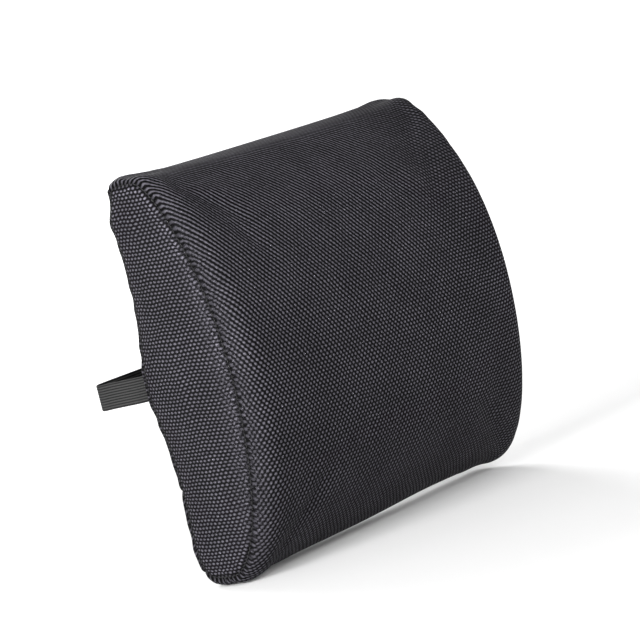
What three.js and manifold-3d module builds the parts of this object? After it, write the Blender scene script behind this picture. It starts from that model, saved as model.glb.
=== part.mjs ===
// Lumbar support cushion: a moulded foam block in a zipped mesh cover, held to a chair back
// by a two-piece elastic strap with a side-release buckle.
// Millimetres. +Z is up, the front bulges towards -Y and the flat rear face is the plane Y = 0.
// The origin is the middle of the rear face, at the height of the strap.

import * as THREE from 'three';
import { mergeVertices } from 'three/addons/utils/BufferGeometryUtils.js';
import Module from 'manifold-3d';

const wasm = await Module();
wasm.setup();

// ---- Overall sizes ----
const cushionWidth = 332;
const cushionHeight = 310;
const cushionDepth = 107;
const strapHeight = 152;

// ---- Side outline, seen from the left ----
const fullestHeight = 150;
const topRearRadius = 17;
const topThickness = 46;
const topFrontDrop = 10;
const topFrontFall = 29;
const upperFrontPull = 79;
const lowerFrontPull = 75;
const bottomRearRise = 32;
const bottomFrontDepth = 38;
const footLength = 14;
const curveSteps = 9;

// ---- Rounding of the front panel over the side edges, and the crown of the side panels ----
const sideCrown = 3;
const edgeWidth = 18;
const edgeDepthFront = 20;
const edgeDepthRear = 4;
const edgeDepthEnds = 4;
const edgeSteps = 4;
const crownSteps = 3;

// ---- Layers, from the outside in ----
const coverThickness = 2.5;
const linerThickness = 0.8;
const layerClearance = 0.4;

// ---- Seams ----
const threadDiameter = 0.8;
const threadSides = 6;
const threadSink = 0.1;
const seamClearance = 0.3;
const sideSeamInset = 1.2;
const rearSeamDepth = 5;

// ---- Zip across the lower rear panel ----
const zipHeight = 70;
const zipTravel = 270;
const tapeThickness = 0.6;
const tapeReach = 9;
const coilWidth = 2;
const coilThickness = 1.4;
const coilGap = 2.2;
const sliderLength = 11;
const sliderPlate = 1.2;
const flangeWidth = 1.1;
const pullLength = 22;
const pullWidth = 7;
const pullThickness = 1.2;
const pullRoot = 2.6;
const pullShoulder = 4;
const earThickness = 1;
const pinRadius = 0.6;
const eyeRadius = 1.5;
const stopLength = 3;
const partClearance = 0.3;
const reliefDepth = 2.2;

// ---- Strap and buckle ----
const strapWidth = 20;
const strapThickness = 1.4;
const strapRearGap = 42;
const strapSideReach = 20;
const loopedEnd = 26;
const tailLength = 62;
const layerGap = 0.4;
const buckleLength = 28;
const buckleThickness = 9;
const buckleRail = 3;
const buckleWall = 1.6;
const plugBase = 7;
const barThickness = 2.4;
const bladeWidth = 5;
const armWidth = 3.2;
const armHook = 2.4;
const hookLength = 6;
const hookSlope = 1;
const rootSteps = 6;
const keeperLength = 7;
const keeperWall = 1.4;
const keeperPlace = 74;
const strapEdgeClearance = 0.5;
const socketCorner = 2.5;
const plugCorner = 2;
const armInset = 0.8;
const mouthX = 4;
const weldOverlap = 0.5;
const strapLift = 3;
const strapMerge = 9;
const strapTurn = 7;
const strapSteps = 28;
const turnSteps = 8;

// ---- Care label ----
const labelWidth = 34;
const labelHeight = 20;
const labelThickness = 0.4;
const labelPlace = 96;
const labelDrop = 4;

// ---- Materials ----
const meshFabric = { color: 0x26262b, roughness: 0.9, metalness: 0 };
const foam = { color: 0xe9e4d2, roughness: 0.95, metalness: 0 };
const knit = { color: 0xf1f0ec, roughness: 0.9, metalness: 0 };
const thread = { color: 0x141416, roughness: 0.8, metalness: 0 };
const nylonTape = { color: 0x1b1b1e, roughness: 0.85, metalness: 0 };
const blackMetal = { color: 0x1a1a1c, roughness: 0.4, metalness: 0.7 };
const elastic = { color: 0x3a3a3d, roughness: 0.85, metalness: 0 };
const plastic = { color: 0x161618, roughness: 0.45, metalness: 0 };
const satin = { color: 0xf4f4f2, roughness: 0.6, metalness: 0 };

const object = new THREE.Group();

// ---- Tools ----
function toSolid(geometry) {
  const bare = geometry.clone();
  for (const name of Object.keys(bare.attributes)) {
    if (name !== 'position') bare.deleteAttribute(name);
  }
  const merged = mergeVertices(bare, 1e-4);
  const vertProperties = new Float32Array(merged.attributes.position.array);
  const triVerts = new Uint32Array(merged.index.array);
  return new wasm.Manifold(new wasm.Mesh({ numProp: 3, vertProperties, triVerts }));
}

function toGeometry(solid) {
  const mesh = solid.getMesh();
  const geometry = new THREE.BufferGeometry();
  geometry.setAttribute('position', new THREE.BufferAttribute(mesh.vertProperties, 3));
  geometry.setIndex(new THREE.BufferAttribute(mesh.triVerts, 1));
  geometry.computeVertexNormals();
  return geometry;
}

function addPart(name, shape, look) {
  const geometry = shape.isBufferGeometry ? shape : toGeometry(shape);
  const mesh = new THREE.Mesh(geometry, new THREE.MeshStandardMaterial(look));
  mesh.name = name;
  object.add(mesh);
  return mesh;
}

// A block between two corners.
function block(low, high) {
  const size = high.map((value, axis) => value - low[axis]);
  const geometry = new THREE.BoxGeometry(...size);
  geometry.translate(...low.map((value, axis) => value + size[axis] / 2));
  return toSolid(geometry);
}

// A closed outline in the XY plane, extruded along Z and centred on `middle`.
function slab(outline, depth, middle = 0) {
  const shape = new THREE.Shape(outline);
  const geometry = new THREE.ExtrudeGeometry(shape, { depth, bevelEnabled: false });
  geometry.translate(0, 0, middle - depth / 2);
  return toSolid(geometry);
}

// ---- Side outline ----
const bottomZ = -strapHeight;
const topZ = cushionHeight - strapHeight;
const fullestZ = bottomZ + fullestHeight;
const middleZ = (bottomZ + topZ) / 2;

// The outline as [y, z] points, anticlockwise seen from +X, starting on the flat rear face.
function sideOutline() {
  const path = new THREE.Path();
  path.moveTo(0, bottomZ + bottomRearRise);
  path.lineTo(0, topZ - topRearRadius);
  path.quadraticCurveTo(0, topZ, -topRearRadius, topZ);
  path.lineTo(-topThickness + topFrontDrop, topZ);
  path.quadraticCurveTo(-topThickness, topZ, -topThickness - topFrontDrop, topZ - topFrontDrop);
  path.bezierCurveTo(
    -(topThickness + cushionDepth) / 2, topZ - topFrontFall,
    -cushionDepth, fullestZ + upperFrontPull,
    -cushionDepth, fullestZ,
  );
  path.bezierCurveTo(
    -cushionDepth, fullestZ - lowerFrontPull,
    -(bottomFrontDepth + 2 * cushionDepth) / 3, bottomZ,
    -bottomFrontDepth, bottomZ,
  );
  path.lineTo(-bottomFrontDepth + footLength, bottomZ);
  path.quadraticCurveTo(0, bottomZ, 0, bottomZ + bottomRearRise);
  const points = path.getPoints(curveSteps);
  points.pop();
  return points;
}

// The outline moved inwards by `inset`, square to itself.
function insetOutline(points, inset) {
  return points.map((point, i) => {
    const next = points[(i + 1) % points.length];
    const last = points[(i + points.length - 1) % points.length];
    const along = new THREE.Vector2().subVectors(next, last).normalize();
    return new THREE.Vector2(point.x - along.y * inset, point.y + along.x * inset);
  });
}

// The outline drawn in at a rounded side edge: `share` is 0 where the edge starts and 1 at the rim.
function drawnIn(outline, share) {
  return outline.map(({ x: y, y: z }) => {
    const forward = Math.min(1, -y / cushionDepth);
    const back = y + (edgeDepthFront * forward - edgeDepthRear * (1 - forward)) * share;
    const squeeze = 1 - (2 * edgeDepthEnds / cushionHeight) * share;
    return [back, middleZ + (z - middleZ) * squeeze];
  });
}

// The surface's ring at a distance x from the middle, `inset` below the surface.
function ringAt(inset, x) {
  const outline = insetOutline(sideOutline(), inset);
  const past = Math.max(0, 1 - (cushionWidth / 2 - sideCrown - x) / edgeWidth);
  return drawnIn(outline, 1 - Math.sqrt(1 - past * past));
}

// The height at which an outline crosses the depth `y`, on its upper or lower half.
function crossing(outline, y, isTop) {
  for (let i = 0; i < outline.length; i += 1) {
    const a = outline[i];
    const b = outline[(i + 1) % outline.length];
    const isUpper = (a.y + b.y) / 2 > middleZ;
    if (isUpper === isTop && (a.x - y) * (b.x - y) <= 0 && a.x !== b.x) {
      return a.y + ((b.y - a.y) * (y - a.x)) / (b.x - a.x);
    }
  }
  return 0;
}

// ---- Cushion body: the outline swept across the width, with rounded side edges and crowned ends ----
function cushionBody(inset) {
  const outline = insetOutline(sideOutline(), inset);
  const halfWidth = cushionWidth / 2 - sideCrown - inset;
  const rings = [];
  for (let i = 0; i <= edgeSteps; i += 1) {
    const angle = (Math.PI / 2) * (i / edgeSteps);
    const x = halfWidth - edgeWidth * (1 - Math.sin(angle));
    rings.push({ x, points: drawnIn(outline, 1 - Math.cos(angle)) });
  }
  const rim = rings[rings.length - 1].points;
  const middleY = rim.reduce((sum, point) => sum + point[0], 0) / rim.length;
  for (let i = 1; i < crownSteps; i += 1) {
    const reach = 1 - i / crownSteps;
    const shrunk = ([y, z]) => [middleY + (y - middleY) * reach, middleZ + (z - middleZ) * reach];
    const points = rim.map(shrunk);
    rings.push({ x: halfWidth + sideCrown * (1 - reach * reach), points });
  }
  const left = rings.map(({ x, points }) => ({ x: -x, points })).reverse();
  const all = [...left, ...rings];
  const count = outline.length;
  const positions = [];
  for (const { x, points } of all) {
    for (const [y, z] of points) positions.push(x, y, z);
  }
  const tip = halfWidth + sideCrown;
  positions.push(-tip, middleY, middleZ, tip, middleY, middleZ);
  const leftTip = all.length * count;
  const rightTip = leftTip + 1;
  const faces = [];
  for (let ring = 0; ring + 1 < all.length; ring += 1) {
    for (let i = 0; i < count; i += 1) {
      const j = (i + 1) % count;
      const a = ring * count + i;
      const b = ring * count + j;
      const c = a + count;
      const d = b + count;
      faces.push(a, d, c, a, b, d);
    }
  }
  const lastRing = (all.length - 1) * count;
  for (let i = 0; i < count; i += 1) {
    const j = (i + 1) % count;
    faces.push(leftTip, j, i);
    faces.push(rightTip, lastRing + i, lastRing + j);
  }
  const geometry = new THREE.BufferGeometry();
  geometry.setAttribute('position', new THREE.Float32BufferAttribute(positions, 3));
  geometry.setIndex(faces);
  return toSolid(geometry);
}

// ---- Cover: four kinds of panel cut from one shell, with a seam thread in each gap ----
const seamGap = threadDiameter + 2 * seamClearance;
const rimX = cushionWidth / 2 - sideCrown;
const sideSeamX = rimX - sideSeamInset;
const middleX = sideSeamX - seamGap;
const threadX = sideSeamX - seamGap / 2;
const threadInset = threadDiameter / 2 + threadSink;
const far = cushionWidth;

const zipZ = bottomZ + zipHeight;
const coilOuter = coilGap / 2 + coilWidth;
const sliderHalf = coilOuter + partClearance + flangeWidth;
const zipOpeningHalf = sliderHalf + partClearance;
const tapeHalf = coilOuter + tapeReach;

const strapSlotHalf = strapWidth / 2 + partClearance;
const strapSlotX = strapThickness / 2 + partClearance;

// The room that a strap end takes where it comes out of the side seam.
function strapSlot(side) {
  const low = [side * threadX - strapSlotX, -coverThickness * 2, -strapSlotHalf];
  const high = [side * threadX + strapSlotX, far, strapSlotHalf];
  return block(low, high);
}

const outerBody = cushionBody(0);
const shell = outerBody.subtract(cushionBody(coverThickness));
const strapSlots = strapSlot(-1).add(strapSlot(1));
const coverShell = shell.subtract(strapSlots);
const middleShell = coverShell.intersect(block([-middleX, -far, -far], [middleX, far, far]));

const leftSide = block([-far, -far, -far], [-sideSeamX, far, far]);
const rightSide = block([sideSeamX, -far, -far], [far, far, far]);
addPart('cover_side_panel_left', coverShell.intersect(leftSide), meshFabric);
addPart('cover_side_panel_right', coverShell.intersect(rightSide), meshFabric);

const frontSide = block([-far, -far, -far], [far, -rearSeamDepth - seamGap, far]);
const rearSide = block([-far, -rearSeamDepth, -far], [far, far, far]);
addPart('cover_front_panel', middleShell.intersect(frontSide), meshFabric);

const upperLimit = zipZ + zipOpeningHalf;
const lowerLimit = zipZ - zipOpeningHalf;
const aboveZip = block([-far, -far, upperLimit], [far, far, far]);
const belowZip = block([-far, -far, -far], [far, far, lowerLimit]);
const rearShell = middleShell.intersect(rearSide);
addPart('cover_rear_panel_upper', rearShell.intersect(aboveZip), meshFabric);
addPart('cover_rear_panel_lower', rearShell.intersect(belowZip), meshFabric);

// A thread that follows the side seam round the cushion, cut where the strap comes through.
function sideThread(side) {
  const points = ringAt(threadInset, threadX + threadInset);
  const places = points.map(([y, z]) => new THREE.Vector3(side * threadX, y, z));
  const curve = new THREE.CatmullRomCurve3(places, true);
  const tube = new THREE.TubeGeometry(curve, 2 * points.length, threadDiameter / 2, threadSides, true);
  return toSolid(tube).subtract(strapSlot(side));
}
addPart('seam_thread_left', sideThread(-1), thread);
addPart('seam_thread_right', sideThread(1), thread);

// A straight thread in the seam between the front panel and a rear panel.
function rearThread(isTop) {
  const outline = insetOutline(sideOutline(), threadInset);
  const y = -rearSeamDepth - seamGap / 2;
  const z = crossing(outline, y, isTop);
  const radius = threadDiameter / 2;
  const geometry = new THREE.CylinderGeometry(radius, radius, 2 * middleX, threadSides);
  geometry.rotateZ(Math.PI / 2);
  geometry.translate(0, y, z);
  return toSolid(geometry);
}
addPart('seam_thread_top', rearThread(true), thread);
addPart('seam_thread_bottom', rearThread(false), thread);

// ---- Inner liner, slit behind the zip, and the foam block with a relief for the slider ----
const linerInset = coverThickness + layerClearance;
const foamInset = linerInset + linerThickness + layerClearance;
const slitHalf = tapeHalf + layerClearance;
const slitX = rimX - edgeWidth;
const slit = block([-slitX, -foamInset, zipZ - slitHalf], [slitX, far, zipZ + slitHalf]);
const liner = cushionBody(linerInset).subtract(cushionBody(linerInset + linerThickness)).subtract(slit);
addPart('inner_liner', liner, knit);
const reliefHalf = sliderHalf + layerClearance;
const reliefLow = [-slitX, -foamInset - reliefDepth, zipZ - reliefHalf];
const relief = block(reliefLow, [slitX, far, zipZ + reliefHalf]);
addPart('foam_core', cushionBody(foamInset).subtract(relief), foam);

// ---- Zip ----
// The lower and upper limit in Z of a stretch on one side of the zip's middle.
function zipSpan(side, inner, outer) {
  return [zipZ + side * inner, zipZ + side * outer].sort((a, b) => a - b);
}

const tapeTop = -coverThickness - partClearance;
const coilBase = tapeTop + partClearance;
const coilTop = coilBase + coilThickness;
const tapeX = slitX - layerClearance;
const closedX = zipTravel / 2;
const coilX = closedX + sliderLength / 2 + partClearance;
const tapeBase = tapeTop - tapeThickness;
for (const [name, side] of [['upper', 1], ['lower', -1]]) {
  const [tapeLow, tapeHigh] = zipSpan(side, coilGap / 2, tapeHalf);
  const tape = block([-tapeX, tapeBase, tapeLow], [tapeX, tapeTop, tapeHigh]);
  addPart(`zipper_tape_${name}`, tape, nylonTape);
  const [coilLow, coilHigh] = zipSpan(side, coilGap / 2, coilOuter);
  const coil = block([-coilX, coilBase, coilLow], [coilX, coilTop, coilHigh]);
  addPart(`zipper_coil_${name}`, coil, nylonTape);
}
const stopNear = coilX + partClearance;
const stopFar = stopNear + stopLength;
function zipStop(low, high) {
  return block([low, coilBase, zipZ - coilOuter], [high, coilTop, zipZ + coilOuter]);
}
addPart('zipper_stop_closed_end', zipStop(stopNear, stopFar), blackMetal);
addPart('zipper_stop_open_end', zipStop(-stopFar, -stopNear), blackMetal);

// Slider: a plate over the coils and one under the tapes, joined by a post that runs between the coils.
const sliderTop = coilTop + partClearance + sliderPlate;
const underTape = tapeBase - partClearance;
const postHalf = coilGap / 2 - partClearance;
const pivotY = sliderTop + eyeRadius + partClearance;
const earInner = pullRoot / 2 + partClearance;
function slider() {
  const half = sliderLength / 2;
  const low = closedX - half;
  const high = closedX + half;
  const plateBase = sliderTop - sliderPlate;
  const floorBase = underTape - sliderPlate;
  const top = block([low, plateBase, zipZ - sliderHalf], [high, sliderTop, zipZ + sliderHalf]);
  const bottom = block([low, floorBase, zipZ - sliderHalf], [high, underTape, zipZ + sliderHalf]);
  const postLow = [closedX - postHalf, floorBase, zipZ - postHalf];
  const postHigh = [closedX + postHalf * 3, sliderTop, zipZ + postHalf];
  let made = top.add(bottom).add(block(postLow, postHigh));
  for (const side of [-1, 1]) {
    const [flangeLow, flangeHigh] = zipSpan(side, sliderHalf - flangeWidth, sliderHalf);
    made = made.add(block([low, coilBase, flangeLow], [high, sliderTop, flangeHigh]));
    const [earLow, earHigh] = zipSpan(side, earInner, earInner + earThickness);
    const earFrom = [closedX - eyeRadius, plateBase, earLow];
    const earTo = [closedX + eyeRadius, pivotY + eyeRadius, earHigh];
    made = made.add(block(earFrom, earTo));
  }
  const pin = new THREE.CylinderGeometry(pinRadius, pinRadius, 2 * earInner + earThickness, 12);
  pin.rotateX(Math.PI / 2);
  pin.translate(closedX, pivotY, zipZ);
  return made.add(toSolid(pin));
}
addPart('zipper_slider', slider(), blackMetal);

// Pull tab: an eye round the slider's pin and a flat grip that lies along the zip.
function pullTab() {
  const eye = new THREE.Shape();
  eye.absarc(closedX, pivotY, eyeRadius, 0, Math.PI * 2);
  const hole = new THREE.Path();
  hole.absarc(closedX, pivotY, pinRadius + partClearance, 0, Math.PI * 2);
  eye.holes.push(hole);
  const flat = { bevelEnabled: false, curveSegments: 8 };
  const ring = new THREE.ExtrudeGeometry(eye, { ...flat, depth: pullRoot });
  ring.translate(0, 0, zipZ - pullRoot / 2);
  const neckEnd = closedX - (pinRadius + partClearance + eyeRadius) / 2;
  const neckLow = [closedX - pullLength / 2, pivotY - pullThickness / 2, zipZ - pullRoot / 2];
  const neckHigh = [neckEnd, pivotY + pullThickness / 2, zipZ + pullRoot / 2];
  const gripOutline = new THREE.Shape();
  const gripStart = closedX - sliderLength / 2 - partClearance;
  const gripEnd = closedX - pullLength;
  const shoulder = gripStart - pullShoulder;
  const round = pullWidth / 2;
  gripOutline.moveTo(gripStart, -pullRoot / 2);
  gripOutline.lineTo(gripStart, pullRoot / 2);
  gripOutline.quadraticCurveTo(gripStart - pullShoulder / 2, round, shoulder, round);
  gripOutline.lineTo(gripEnd + round, round);
  gripOutline.absarc(gripEnd + round, 0, round, Math.PI / 2, Math.PI * 1.5, false);
  gripOutline.lineTo(shoulder, -round);
  gripOutline.quadraticCurveTo(gripStart - pullShoulder / 2, -round, gripStart, -pullRoot / 2);
  const grip = new THREE.ExtrudeGeometry(gripOutline, { ...flat, depth: pullThickness });
  grip.rotateX(-Math.PI / 2);
  grip.translate(0, pivotY - pullThickness / 2, zipZ);
  return toSolid(ring).add(block(neckLow, neckHigh)).add(toSolid(grip));
}
addPart('zipper_pull_tab', pullTab(), blackMetal);

// ---- Buckle, lying flat behind the chair back at the height of the strap ----
const strapY = strapRearGap;
const layerOffset = (strapThickness + layerGap) / 2;
const barRadius = barThickness / 2;
const barReach = barRadius + strapThickness + 3 * partClearance;
const railInner = strapWidth / 2 + strapEdgeClearance;
const buckleHalf = railInner + buckleRail;
const socketBack = mouthX - buckleLength + barReach + barRadius;
const cavityBack = socketBack + buckleRail;
const cavityHalf = buckleThickness / 2 - buckleWall;
const socketBarX = socketBack - barReach;
const plugFront = mouthX + partClearance;
const plugBack = plugFront + plugBase;
const plugBarX = plugBack + barReach;

// An outline in the XZ plane, given as [x, z] points, with its thickness centred on the strap plane.
function buckleSlab(points, thickness) {
  const shape = new THREE.Shape(points.map(([x, z]) => new THREE.Vector2(x, -z)));
  const geometry = new THREE.ExtrudeGeometry(shape, { depth: thickness, bevelEnabled: false });
  geometry.rotateX(-Math.PI / 2);
  geometry.translate(0, strapY - thickness / 2, 0);
  return toSolid(geometry);
}

// The bar that a strap end loops round, with the two rails that carry it.
function barFrame(barX, bodyX) {
  const bar = new THREE.CylinderGeometry(barRadius, barRadius, 2 * (railInner + weldOverlap), 12);
  bar.rotateX(Math.PI / 2);
  bar.translate(barX, strapY, 0);
  let made = toSolid(bar);
  const outward = Math.sign(barX - bodyX) * barRadius;
  const xs = [bodyX, barX + outward].sort((a, b) => a - b);
  for (const side of [-1, 1]) {
    const zs = [side * railInner, side * buckleHalf].sort((a, b) => a - b);
    made = made.add(block([xs[0], strapY - barRadius, zs[0]], [xs[1], strapY + barRadius, zs[1]]));
  }
  return made;
}

function socket() {
  const round = socketCorner;
  const outline = [
    [socketBack, -buckleHalf], [mouthX - round, -buckleHalf], [mouthX, -buckleHalf + round],
    [mouthX, buckleHalf - round], [mouthX - round, buckleHalf], [socketBack, buckleHalf],
  ];
  const cavity = block([cavityBack, strapY - cavityHalf, -far], [far, strapY + cavityHalf, far]);
  const body = buckleSlab(outline, buckleThickness).subtract(cavity);
  return body.add(barFrame(socketBarX, socketBack + weldOverlap));
}
addPart('buckle_socket', socket(), plastic);

const tongueHalf = cavityHalf - partClearance;
const tipX = cavityBack + 3 * partClearance;
const armRoot = armWidth / 2;
const armX = plugFront - armRoot - partClearance;
const armZ = buckleHalf - armInset - armHook - armRoot;

function plug() {
  const round = plugCorner;
  const outline = [
    [plugFront, -buckleHalf], [plugBack - round, -buckleHalf], [plugBack, -buckleHalf + round],
    [plugBack, buckleHalf - round], [plugBack - round, buckleHalf], [plugFront, buckleHalf],
  ];
  const bladeLow = [tipX, strapY - tongueHalf, -bladeWidth / 2];
  const bladeHigh = [plugFront + weldOverlap, strapY + tongueHalf, bladeWidth / 2];
  const body = buckleSlab(outline, buckleThickness - 2 * weldOverlap).add(block(bladeLow, bladeHigh));
  return body.add(barFrame(plugBarX, plugBack - weldOverlap));
}
addPart('buckle_plug', plug(), plastic);

// A sprung latch arm. `side` is 1 for the upper arm and -1 for the lower one.
function latchArm(side) {
  const root = [];
  for (let i = 0; i <= rootSteps; i += 1) {
    const angle = -Math.PI / 2 + Math.PI * (i / rootSteps);
    root.push([armX + armRoot * Math.cos(angle), armZ + armRoot * Math.sin(angle)]);
  }
  const hookZ = armZ + armRoot + armHook;
  const points = [
    [tipX, armZ - armRoot],
    ...root,
    [tipX + hookLength, armZ + armRoot],
    [tipX + hookLength - hookSlope, hookZ],
    [tipX + 2 * hookSlope, hookZ - hookSlope / 2],
    [tipX, armZ],
  ];
  const turned = points.map(([x, z]) => [x, side * z]);
  return buckleSlab(turned, 2 * tongueHalf);
}
addPart('buckle_arm_upper', latchArm(1), plastic);
addPart('buckle_arm_lower', latchArm(-1), plastic);

// ---- Elastic strap: each half leaves a side seam, turns round the chair edge, loops on a bar ----
function strapPath(barX, side, endLength) {
  const reach = threadX + strapSideReach;
  const outerY = strapY + layerOffset;
  const innerY = strapY - layerOffset;
  const wrap = [
    [threadX, -coverThickness + partClearance],
    [threadX, strapLift],
    [threadX + strapSideReach / 3, strapY / 4],
    [reach - strapTurn / 3, strapY - 2 * strapTurn],
    [reach + strapTurn / 3, strapY - strapTurn],
    [reach - strapTurn / 3, outerY - strapTurn / 4],
    [reach - 2 * strapTurn, outerY],
    [reach - 5 * strapTurn, outerY],
  ];
  const curve = new THREE.CatmullRomCurve3(wrap.map(([x, y]) => new THREE.Vector3(side * x, y, 0)));
  const points = curve.getPoints(strapSteps).map(({ x, y }) => new THREE.Vector2(x, y));
  const turn = barRadius + partClearance + strapThickness / 2;
  const away = Math.abs(barX);
  const merge = away + strapMerge;
  points.push(new THREE.Vector2(side * merge, outerY));
  for (let i = 0; i <= turnSteps; i += 1) {
    const angle = Math.PI / 2 + Math.PI * (i / turnSteps);
    const x = side * (away + turn * Math.cos(angle));
    points.push(new THREE.Vector2(x, strapY + turn * Math.sin(angle)));
  }
  points.push(new THREE.Vector2(side * merge, innerY));
  points.push(new THREE.Vector2(side * (away + endLength), innerY));
  return points;
}

// A flat band of the strap's thickness along a path.
function band(points) {
  const leftEdge = [];
  const rightEdge = [];
  points.forEach((point, i) => {
    const next = points[Math.min(i + 1, points.length - 1)];
    const last = points[Math.max(i - 1, 0)];
    const along = new THREE.Vector2().subVectors(next, last).normalize();
    const half = strapThickness / 2;
    leftEdge.push(new THREE.Vector2(point.x - along.y * half, point.y + along.x * half));
    rightEdge.push(new THREE.Vector2(point.x + along.y * half, point.y - along.x * half));
  });
  return slab([...leftEdge, ...rightEdge.reverse()], strapWidth);
}
addPart('strap_left', band(strapPath(socketBarX, -1, loopedEnd)), elastic);
addPart('strap_right', band(strapPath(plugBarX, 1, tailLength)), elastic);

// Keeper: a loop that holds the strap's free end against it.
function keeper() {
  const innerY = strapThickness + layerGap / 2 + partClearance;
  const innerZ = strapWidth / 2 + partClearance;
  const half = keeperLength / 2;
  const low = keeperPlace - half;
  const high = keeperPlace + half;
  const outerY = innerY + keeperWall;
  const outerZ = innerZ + keeperWall;
  const outer = block([low, strapY - outerY, -outerZ], [high, strapY + outerY, outerZ]);
  const hole = block([low - 1, strapY - innerY, -innerZ], [high + 1, strapY + innerY, innerZ]);
  return outer.subtract(hole);
}
addPart('strap_keeper', keeper(), plastic);

// ---- Care label, blank, sewn below the zip ----
const labelTop = lowerLimit - labelDrop;
const labelLow = [labelPlace - labelWidth / 2, seamClearance, labelTop - labelHeight];
const labelHigh = [labelPlace + labelWidth / 2, seamClearance + labelThickness, labelTop];
addPart('care_label', block(labelLow, labelHigh), satin);

export default object;
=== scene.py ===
"""Lumbar support cushion: the looks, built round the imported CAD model.

Metres, in the row frame: +Z is up, the front bulges towards -Y and the rear face is the plane Y = 0.
"""

import math

import bmesh
import bpy
import numpy as np
from mathutils import Matrix, Vector
from mathutils.bvhtree import BVHTree
from mathutils.geometry import delaunay_2d_cdt


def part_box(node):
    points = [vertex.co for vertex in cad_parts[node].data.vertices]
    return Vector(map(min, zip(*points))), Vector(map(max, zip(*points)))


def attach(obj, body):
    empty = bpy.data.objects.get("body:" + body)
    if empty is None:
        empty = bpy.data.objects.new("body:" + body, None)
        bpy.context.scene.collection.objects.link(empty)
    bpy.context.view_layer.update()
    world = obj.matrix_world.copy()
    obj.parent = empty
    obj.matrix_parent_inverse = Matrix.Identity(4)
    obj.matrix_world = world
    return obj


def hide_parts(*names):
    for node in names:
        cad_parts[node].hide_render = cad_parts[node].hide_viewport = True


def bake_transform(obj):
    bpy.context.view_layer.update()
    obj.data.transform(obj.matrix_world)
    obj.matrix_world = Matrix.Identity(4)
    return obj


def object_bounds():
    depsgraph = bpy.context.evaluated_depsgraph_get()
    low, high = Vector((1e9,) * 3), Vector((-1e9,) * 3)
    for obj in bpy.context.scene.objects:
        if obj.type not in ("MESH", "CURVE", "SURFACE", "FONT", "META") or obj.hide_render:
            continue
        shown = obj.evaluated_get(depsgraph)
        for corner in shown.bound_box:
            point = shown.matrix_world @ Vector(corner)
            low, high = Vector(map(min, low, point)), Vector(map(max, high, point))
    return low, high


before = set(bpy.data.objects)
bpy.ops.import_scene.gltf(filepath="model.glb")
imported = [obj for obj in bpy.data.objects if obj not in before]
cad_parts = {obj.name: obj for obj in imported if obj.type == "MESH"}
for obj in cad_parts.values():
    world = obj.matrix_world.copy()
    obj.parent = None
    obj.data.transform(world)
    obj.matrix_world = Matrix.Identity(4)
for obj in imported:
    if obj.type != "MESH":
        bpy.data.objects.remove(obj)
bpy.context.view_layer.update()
scene = bpy.context.scene
MM = 0.001
TURN = 2 * math.pi

# ---- Camera, at the photograph's viewing angle ----
CAMERA_PLACE = (-1.8034, -1.6763, 0.2735)
CAMERA_RIGHT = (0.6329, -0.7355, -0.2416)
CAMERA_UP = (0.2411, -0.1093, 0.9643)
CAMERA_BACK = (-0.7357, -0.6686, 0.1081)
CAMERA_LENS = 176.7
CAMERA_SENSOR = 36

# ---- Places taken from the CAD model ----
SIDE_CROWN = 3 * MM
side_low, side_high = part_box("cover_side_panel_right")
front_low, front_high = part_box("cover_front_panel")
RIM_X = side_high.x - SIDE_CROWN
DEPTH = -front_low.y
BOTTOM, TOP = front_low.z, front_high.z
MIDDLE_Z = (BOTTOM + TOP) / 2
HEIGHT = TOP - BOTTOM
SEAM_Y = sum(corner.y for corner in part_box("seam_thread_top")) / 2
THREAD_X = sum(corner.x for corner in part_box("seam_thread_right")) / 2
ZIP_Z = (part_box("zipper_coil_lower")[1].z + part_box("zipper_coil_upper")[0].z) / 2
ZIP_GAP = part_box("cover_rear_panel_upper")[0].z - ZIP_Z

# ---- Side outline, as in the CAD model ----
FULLEST_Z = BOTTOM + 150 * MM
TOP_REAR_RADIUS = 21 * MM
TOP_THICKNESS = 46 * MM
TOP_FRONT_DROP = 10 * MM
TOP_FRONT_FALL = 29 * MM
UPPER_FRONT_PULL = 79 * MM
LOWER_FRONT_PULL = 75 * MM
BOTTOM_REAR_RISE = 32 * MM
BOTTOM_FRONT_DEPTH = 38 * MM
FOOT_LENGTH = 14 * MM
TANGENT_REACH = 3 * MM

# ---- Rounding of the front panel over the side edges ----
EDGE_WIDTH = 18 * MM
EDGE_DEPTH_FRONT = 20 * MM
EDGE_DEPTH_REAR = 4 * MM
EDGE_DEPTH_ENDS = 6 * MM
EDGE_FULLNESS = 2.7
EDGE_SHARES = (0.16, 0.32, 0.48, 0.63, 0.77, 0.885, 0.95, 1)

# ---- What use has done to the shape: corners that stand out, and sides that the strap pulls back ----
TOP_EARS = (4.5 * MM, 3 * MM)
TOP_HOLLOW = 0.5 * MM
BOTTOM_EARS = (7 * MM, 2 * MM)
BOTTOM_BELLY = 3.3 * MM
BELLY_END = 0.15
BELLY_FADE = 0.27
END_ZONE = 0.2 * HEIGHT
FULLER_SIDE = 4 * MM
SHOULDER_OUT = 4 * MM
SHOULDER_DROP = 36 * MM
SHOULDER_HIGH = 13 * MM
SHOULDER_TUCK = 2.5 * MM
TUCK_DROP = 19 * MM
TUCK_HIGH = 6 * MM
STRAP_PULL_BACK = 8 * MM
STRAP_PULL_OUT = 3 * MM
STRAP_PULL_HIGH = 40 * MM
STRAP_PULL_DEEP = 30 * MM

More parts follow.
